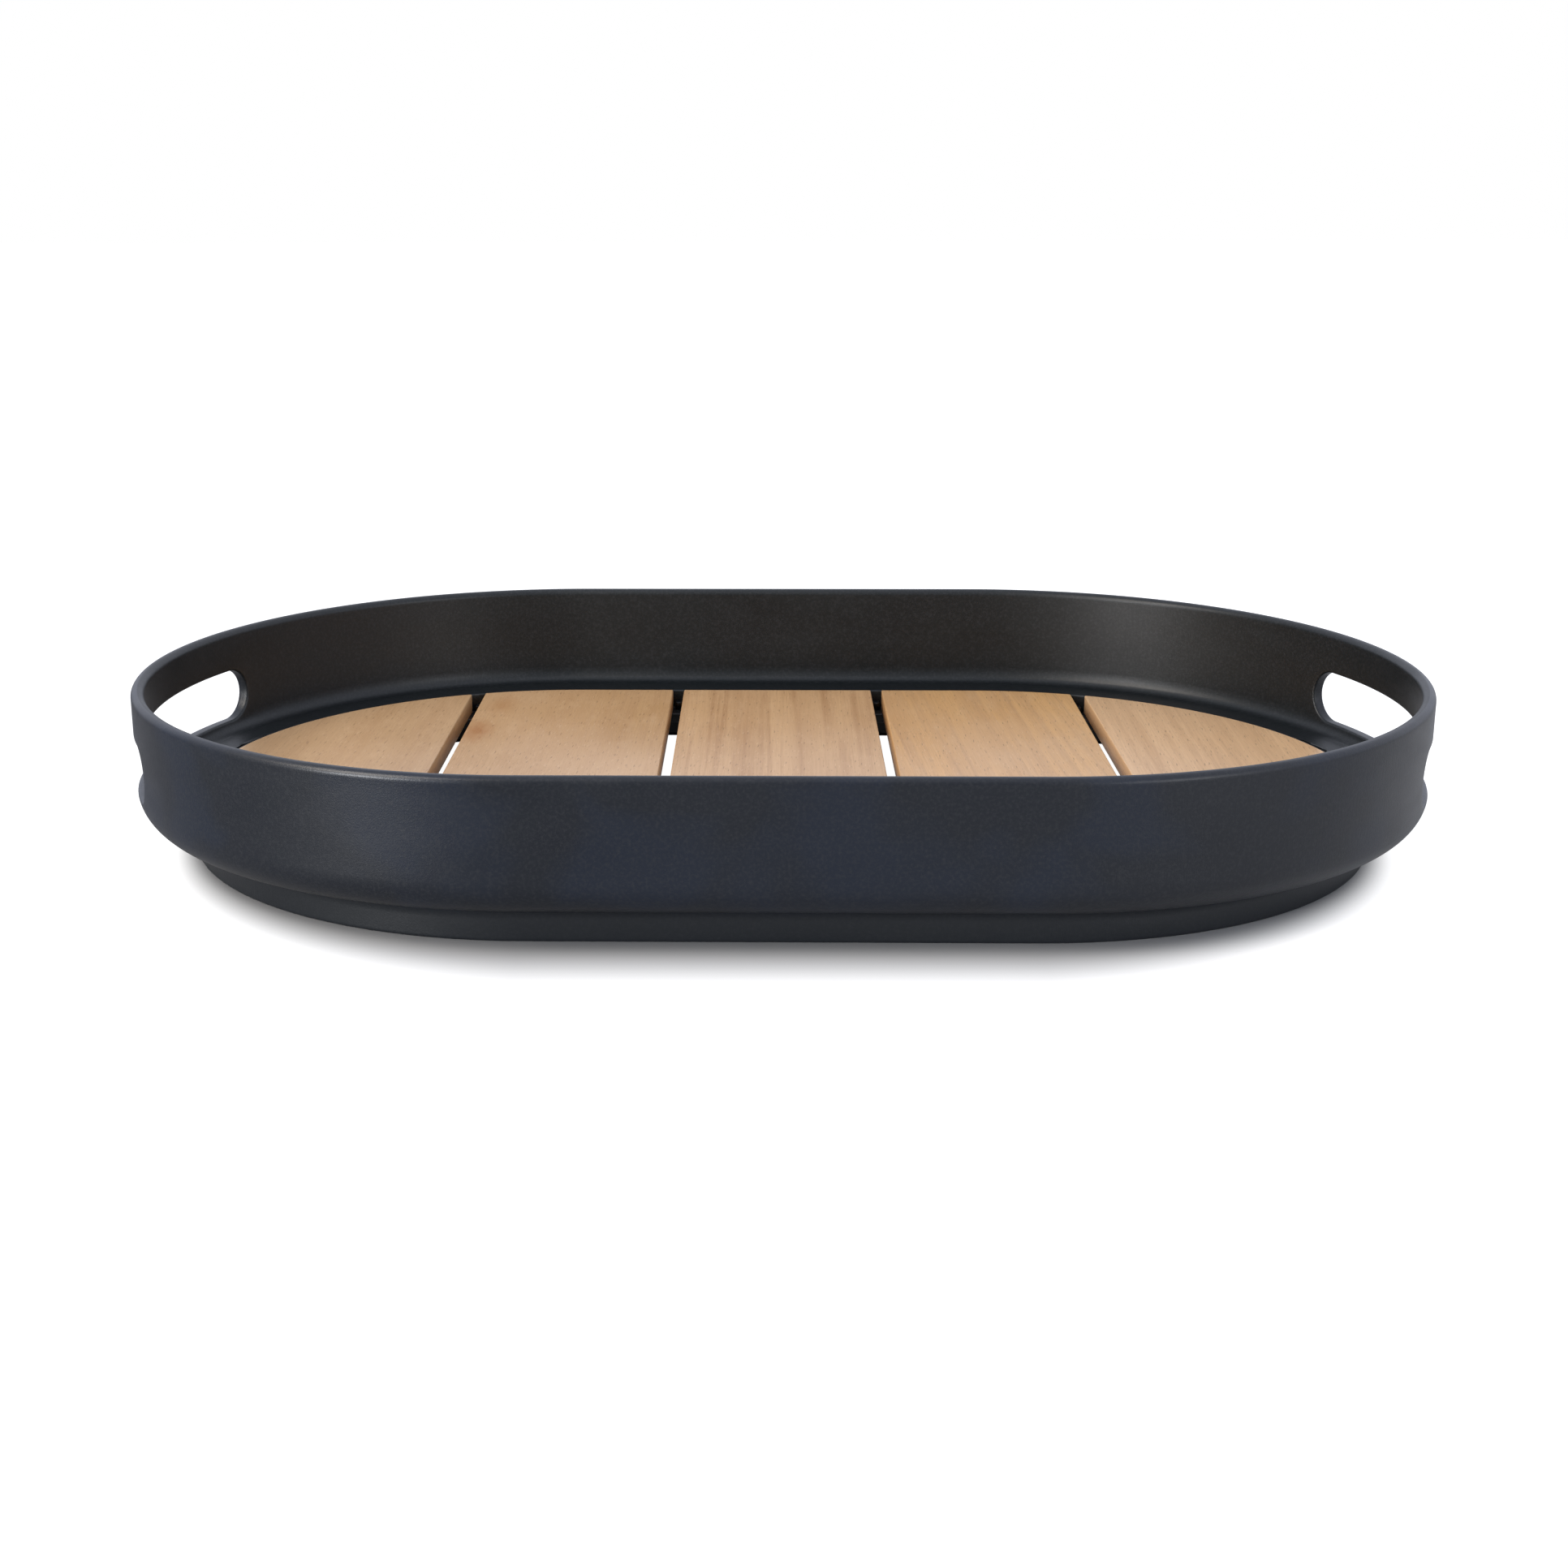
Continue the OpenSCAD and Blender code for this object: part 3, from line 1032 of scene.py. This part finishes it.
@dataclass
class Slat:
    """One beech board of the deck, with eased edges and corners.

    Attributes:
        node: The frame's node that the board stands for.
        low: X of its left edge, in millimetres.
        high: X of its right edge.
        deck: Outline that the whole deck is cut to.
        bottom: Height of its underside.
        top: Height of its upper face.
        wood: The plank that it is cut from.
        ease: Round on its edges.
        corner: Round on its corners, seen from above.
        flat_in: How far in its flat faces begin, as a share of the corner's round.
        side_points: Points along a side of the outline.
        back_points: Points along half of its back.
        corner_points: Points round a corner.
    """

    node: str
    low: float
    high: float
    deck: RoundEnded
    bottom: float
    top: float
    wood: Beech
    ease: float = 0.5
    corner: float = 0.7
    flat_in: float = 0.9
    side_points: int = 97
    back_points: int = 17
    corner_points: int = 6

    def flank(self, x: float, far: float, sign: int) -> tuple[Array, Array]:
        """One side of the board's outline, from its back to its front.

        The outline is an inner one with sharp corners, pushed out along its normals
        by the corner's round, so the normals sweep where a corner is. The side of a
        round end is the deck's own arc, which meets the straight side at the
        corners. Any other board has half of its back and front on each side. The
        front half of all this is the back half's mirror image.

        Args:
            x: The edge that the side follows.
            far: The board's other edge.
            sign: -1 for the left side and 1 for the right one.

        Returns:
            Points of the inner outline, and the outward normals there.
        """
        inner = self.deck.shrunk(self.corner)
        tip = inner.end_x + inner.radius
        back = back_normal = np.empty((0, 2))
        if abs(x) > tip:
            mouth = far + sign * self.corner
            start = math.acos((abs(mouth) - inner.end_x) / inner.radius)
            a = np.linspace(start, -start, self.side_points)
            normal = np.stack([sign * np.cos(a), np.sin(a)], axis=-1)
            base = normal * inner.radius + np.array([sign * inner.end_x, 0.0])
            sweep = self.sweep(np.array([-float(sign), 0.0]), normal[0], half=True)
        else:
            edge = np.array([x - sign * self.corner])
            reach = inner.reach(edge)
            down = np.linspace(reach, -reach, self.side_points)
            base = np.concatenate([np.full_like(down, edge), down], axis=-1)
            normal = np.broadcast_to(np.array([float(sign), 0.0]), base.shape)
            sweep = self.sweep(inner.outward(edge)[0], normal[0], half=abs(far) > tip)
            if abs(far) < tip:
                middle = 0.5 * (x + far)
                across = middle + (edge - middle) * np.linspace(0.0, 1.0, self.back_points)
                back = np.stack([across, inner.reach(across)], axis=-1)
                back_normal = inner.outward(across)
        before = np.concatenate([back, np.broadcast_to(base[0], sweep.shape)])
        lead = np.concatenate([back_normal, sweep])
        flip = np.array([1.0, -1.0])
        points = np.concatenate([before, base[1:-1], before[::-1] * flip])
        normals = np.concatenate([lead, normal[1:-1], lead[::-1] * flip])
        return points, normals

    def sweep(self, start: Array, end: Array, half: bool = False) -> Array:
        """Unit normals that turn evenly round a corner.

        Args:
            start: Normal before the corner.
            end: Normal after it.
            half: Whether only the second half of the turn is wanted.

        Returns:
            The normals, one row each.
        """
        a, b = math.atan2(start[1], start[0]), math.atan2(end[1], end[0])
        b = a + (b - a + math.pi) % (2 * math.pi) - math.pi
        angles = np.linspace(0.5 * (a + b) if half else a, b, self.corner_points)
        return np.stack([np.cos(angles), np.sin(angles)], axis=-1)

    def build(self) -> bpy.types.Object:
        """Makes the board from rings that follow its outline, closed by two flat faces.

        Returns:
            The board.
        """
        a = np.linspace(0.0, QUARTER, 6)
        drawn = self.ease * (1.0 - np.cos(a))
        rise = self.ease * (1.0 - np.sin(a))
        flat = [self.corner * self.flat_in]
        inset = np.concatenate([flat, drawn[::-1], drawn, flat])
        z = np.concatenate([[self.bottom], self.bottom + rise[::-1], self.top - rise, [self.top]])
        push = (self.corner - inset)[:, None, None]
        shell = Shell()
        flanks = []
        for x, far, sign in ((self.high, self.low, 1), (self.low, self.high, -1)):
            base, normal = self.flank(x, far, sign)
            ring = base + push * normal
            tall = np.broadcast_to(z[:, None, None], (*ring.shape[:2], 1))
            flanks.append(np.concatenate([ring, tall], axis=-1))
            shell.add(flanks[-1], grid_faces(*ring.shape[:2]))
        for level in (0, -1):
            face = np.concatenate([flanks[0][level], flanks[1][level][-2:0:-1]])
            shell.add(face, np.arange(len(face))[None, :])
        return shell.to_object("beech_" + self.node)

    def dress(self, piece: bpy.types.Object) -> None:
        """Gives the built board its wood, and puts it in place of the frame's node."""
        dress(piece, self.wood.material())
        stand_in(piece, self.node)


@dataclass
class Deck:
    """The five slats, from the left end to the right one, in millimetres.

    Attributes:
        outline: Outline that the deck is cut to.
        width: Width of each of the three middle slats.
        gap: Gap between those slats.
        end_gap: Gap beside each end slat.
        bottom: Height of the slats' undersides.
        top: Height of their upper faces.
    """

    outline: RoundEnded = RoundEnded(85.7, 133.1)
    width: float = 82.4
    gap: float = 4.8
    end_gap: float = 5.7
    bottom: float = 11.7
    top: float = 19.7

    def slats(self) -> list[Slat]:
        """Works out where each slat stands and which plank it is cut from.

        Returns:
            The slats.
        """
        tip = self.outline.end_x + self.outline.radius
        half = self.width / 2
        side = half + self.gap
        end = side + self.width + self.end_gap
        edges = {
            "left_end_slat": (-tip, -end),
            "left_slat": (-side - self.width, -side),
            "centre_slat": (-half, half),
            "right_slat": (side, side + self.width),
            "right_end_slat": (end, tip),
        }
        stains = ((-123.5, 60.0, 0.78), (-118.0, 104.0, 0.34))
        woods = {
            "left_end_slat": Beech("left_end", (3.0, 1.0, 0.0), light=(0.555, 0.352, 0.178)),
            "left_slat": Beech("left", (11.0, 4.0, 2.0), stains=stains),
            "centre_slat": Beech(
                "centre", (23.0, 8.0, 5.0), Figure.STRAIGHT, light=(0.640, 0.395, 0.192)
            ),
            "right_slat": Beech(
                "right", (37.0, 2.0, 7.0), Figure.SLANTED, light=(0.715, 0.408, 0.150)
            ),
            "right_end_slat": Beech("right_end", (51.0, 6.0, 9.0), light=(0.780, 0.510, 0.280)),
        }
        return [
            Slat(node, low, high, self.outline, self.bottom, self.top, woods[node])
            for node, (low, high) in edges.items()
        ]


# Studio


@dataclass(frozen=True)
class Photograph:
    """The photograph's camera, in millimetres, degrees and pixels.

    Attributes:
        frame: Width and height of the picture.
        focal: Focal length in pixels of the frame.
        axis_x: Column of the picture where the lens looks.
        target: Point on the tray's plane that the lens is aimed at.
        distance: From the target to the lens.
        pitch: Look down from the horizon.
        yaw: Look to the right of straight ahead.
        roll: Turn about the line of sight.
        sensor: Width of the camera's sensor.
        clip: Nearest and farthest distance that shows, in metres.
    """

    frame: float = 1932.0
    focal: float = 2641.73
    axis_x: float = 893.8
    target: Triple = (-20.37, 0.0, 14.40)
    distance: float = 822.31
    pitch: float = 15.95
    yaw: float = -1.1636
    roll: float = -0.1546
    sensor: float = 36.0
    clip: Pair = (0.01, 50.0)

    def build(self) -> None:
        """Sets the camera up along its line of sight and makes it the scene's own."""
        pitch, yaw, roll = (math.radians(a) for a in (self.pitch, self.yaw, self.roll))
        ahead = math.cos(pitch)
        sight = Vector((math.sin(yaw) * ahead, math.cos(yaw) * ahead, -math.sin(pitch)))
        level = Vector((math.cos(yaw), -math.sin(yaw), 0.0))
        upright = level.cross(sight)
        right = math.cos(roll) * level + math.sin(roll) * upright
        up = -math.sin(roll) * level + math.cos(roll) * upright
        data = bpy.data.cameras.new("photograph_camera")
        data.sensor_width = self.sensor
        data.lens = self.focal / self.frame * self.sensor
        data.shift_x = (self.frame / 2 - self.axis_x) / self.frame
        data.clip_start, data.clip_end = self.clip
        camera = bpy.data.objects.new("photograph_camera", data)
        bpy.context.scene.collection.objects.link(camera)
        turn = Matrix((right, up, -sight)).transposed().to_4x4()
        place = (Vector(self.target) - sight * self.distance) * MM
        camera.matrix_world = Matrix.Translation(place) @ turn
        bpy.context.scene.camera = camera


@dataclass(frozen=True)
class Lamp:
    """A soft rectangular lamp that looks at the tray.

    Attributes:
        name: Its name.
        place: Where it stands, in metres.
        size: Its width and height, in metres.
        power: Its power, in watts.
        colour: Colour of its light.
        aim: Point that it looks at, in metres.
    """

    name: str
    place: Triple
    size: Pair
    power: float
    colour: Colour = (1.0, 1.0, 1.0)
    aim: Triple = (0.0, 0.0, 0.03)

    def build(self) -> None:
        """Makes the lamp and turns it towards the tray."""
        data = bpy.data.lights.new(self.name, "AREA")
        data.shape = "RECTANGLE"
        data.size, data.size_y = self.size
        data.energy = self.power
        data.color = self.colour
        lamp = bpy.data.objects.new(self.name, data)
        bpy.context.scene.collection.objects.link(lamp)
        lamp.location = self.place
        sight = Vector(self.aim) - Vector(self.place)
        lamp.rotation_euler = sight.to_track_quat("-Z", "Y").to_euler()


@dataclass(frozen=True)
class Studio:
    """Pale floor, pale surroundings and soft lamps.

    Attributes:
        floor_size: Length of the floor's sides, in metres.
        floor_colour: Its colour at the right of the tray.
        floor_painted_shade: Its colour at the left, a darker copy of floor_colour: painted shade.
        shaded: X between which the one turns into the other, in millimetres.
        lift: Light added to the floor where it is seen, so that it reads as white.
        mirrored_lift: Share of that light in reflections at the right of the tray, fading out
            towards the left: painted reflection.
        footprint: Outline on the floor inside which it shows fully white, in millimetres: painted
            light where the tray's shade falls.
        dark_edge: Width of the strip round the footprint that gets no added light.
        pool: Distances past that strip between which the light comes in, painting the fall-off of
            the tray's shadow.
        narrowing: How much those distances shrink towards the tray's two ends.
        spill: Share of the pale surroundings' strength that lights matt surfaces.
        backdrop: Direction in which the pale backdrop stands.
        backdrop_edge: Cosines of the angle from it between which its light comes in.
        overhead: Strength of the brightest part, which reaches up from the backdrop.
        behind_camera: Strength of what stands opposite the backdrop.
        tint: Their colour.
        lamps: The lamps.
    """

    floor_size: float = 14.0
    floor_colour: Colour = (0.405, 0.412, 0.425)
    floor_painted_shade: Colour = (0.272, 0.276, 0.285)
    shaded: Pair = (-330.0, 230.0)
    lift: float = 0.92
    mirrored_lift: float = 0.27
    footprint: RoundEnded = RoundEnded(83.5, 129.0)
    dark_edge: float = 3.0
    pool: Pair = (8.0, 55.0)
    narrowing: float = 0.76
    spill: float = 0.70
    backdrop: Triple = (0.48, 0.66, 0.58)
    backdrop_edge: Pair = (-0.30, 0.35)
    overhead: float = 1.20
    behind_camera: float = 0.34
    tint: Colour = (0.84, 0.875, 1.0)
    lamps: tuple[Lamp, ...] = (
        Lamp("key_lamp", (-1.54, -1.12, 1.52), (1.10, 1.15), 42.0, (1.0, 0.93, 0.85)),
        Lamp("left_lamp", (-1.80, -1.80, 0.38), (0.54, 0.70), 42.0, (0.97, 0.98, 1.0)),
        Lamp("right_lamp", (1.10, -1.30, 0.45), (0.60, 0.60), 6.0, (0.97, 0.98, 1.0)),
    )

    def pool_light(self, s: Sheet) -> Socket:
        """Light added to the floor, by the distance d from the footprint's middle line, which
        paints the fall-off of the tray's shadow.

        Past the straight sides d is measured from the round end's axis. The light is 1
        inside the footprint. Outside it rises with (d - radius - dark_edge) / n,
        where n is 1 less narrowing times the share of d that lies past the sides.

        Args:
            s: The floor's nodes.

        Returns:
            The light's strength.
        """
        x, y = s.own("X"), s.own("Y")
        past = s.math("SUBTRACT", s.math("ABSOLUTE", x), self.footprint.end_x * MM)
        past = s.math("MAXIMUM", past, 0.0)
        squares = s.math("ADD", s.math("POWER", past, 2.0), s.math("POWER", y, 2.0))
        away = s.math("SQRT", squares)
        inside = s.math("LESS_THAN", away, self.footprint.radius * MM)
        lean = s.times(s.math("DIVIDE", past, away), self.narrowing)
        narrow = s.math("SUBTRACT", 1.0, lean)
        outside = s.math("SUBTRACT", away, (self.footprint.radius + self.dark_edge) * MM)
        start, end = (d * MM for d in self.pool)
        fade = s.ramp(s.math("DIVIDE", outside, narrow), start, end, kind="SMOOTHSTEP")
        return s.math("ADD", s.times(fade, self.lift), inside)

    def floor(self) -> None:
        """Makes the floor, which takes the tray's shadow, partly painted by added light, and
        reads as white round it and under the tray.
        """
        half = self.floor_size / 2
        mesh = bpy.data.meshes.new("studio_floor")
        corners = [(-half, -half, 0), (half, -half, 0), (half, half, 0), (-half, half, 0)]
        mesh.from_pydata(corners, [], [(0, 1, 2, 3)])
        floor = bpy.data.objects.new("studio_floor", mesh)
        bpy.context.scene.collection.objects.link(floor)
        s = Sheet("studio_floor")
        start, end = (x * MM for x in self.shaded)
        bright = s.ramp(s.own("X"), start, end)
        glossy = s.node("LightPath").outputs["Is Glossy Ray"]
        # Painted reflection: the glow seen in reflections fades out towards the left of the tray.
        mirrored = s.times(glossy, s.times(bright, self.mirrored_lift))
        # Painted light: the glow paints the fall-off of the tray's shadow and whitens the floor
        # under the tray.
        strength = s.times(s.math("MAXIMUM", s.seen(), mirrored), self.pool_light(s))
        # Painted shade: the floor's colour darkens towards the left of the tray.
        matt = s.node("BsdfDiffuse", Color=s.mix(bright, self.floor_painted_shade, self.floor_colour))
        glow = s.node("Emission", Strength=strength)
        both = s.node("AddShader")
        s.feed(both.inputs[0], matt.outputs[0])
        s.feed(both.inputs[1], glow.outputs[0])
        mesh.materials.append(s.finish(both))

    def surroundings(self) -> None:
        """Sets pale surroundings that light softly and read as white behind the tray."""
        world = bpy.data.worlds.new("studio")
        bpy.context.scene.world = world
        s = Sheet("studio", world)
        direction = s.node("TexCoord").outputs["Generated"]
        towards = s.node("VectorMath", operation="DOT_PRODUCT", Vector=direction)
        s.feed(towards.inputs[1], self.backdrop)
        cosine = towards.outputs["Value"]
        card = s.ramp(cosine, *self.backdrop_edge, self.behind_camera, self.overhead)
        glossy = s.node("LightPath").outputs["Is Glossy Ray"]
        strength = s.times(card, s.math("MAXIMUM", glossy, self.spill))
        soft = s.node("Background", Color=self.tint, Strength=strength)
        white = s.node("Background", Color=(1.0, 1.0, 1.0), Strength=1.0)
        either = s.node("MixShader", Fac=s.seen())
        s.feed(either.inputs[1], soft.outputs[0])
        s.feed(either.inputs[2], white.outputs[0])
        s.finish(either)

    def build(self) -> None:
        """Sets the floor, the surroundings and the lamps up."""
        bpy.context.scene.view_settings.view_transform = "Standard"
        self.floor()
        self.surroundings()
        for lamp in self.lamps:
            lamp.build()


def main() -> None:
    """Builds the tray's pieces, dresses them, and sets up the studio and the camera."""
    logging.basicConfig(level=logging.INFO, format="%(name)s: %(message)s")
    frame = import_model()
    Photograph().build()
    low, high = (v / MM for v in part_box("tray_body"))
    half_length, radius = (high.x - low.x) / 2, (high.y - low.y) / 2
    body = MouldedBody(RoundEnded(half_length - radius, radius), high.z)
    for part in (body, *Deck().slats()):
        piece = part.build()
        part.dress(piece)
        LOG.info("%s: %d faces", piece.name, len(piece.data.polygons))
    zinc = ZincPlate().material()
    for name, node in frame["nodes"].items():
        if name.endswith("_screws"):
            dress(node, zinc)
            LOG.info("%s: zinc plated", name)
    Studio().build()


if __name__ == "__main__":
    main()
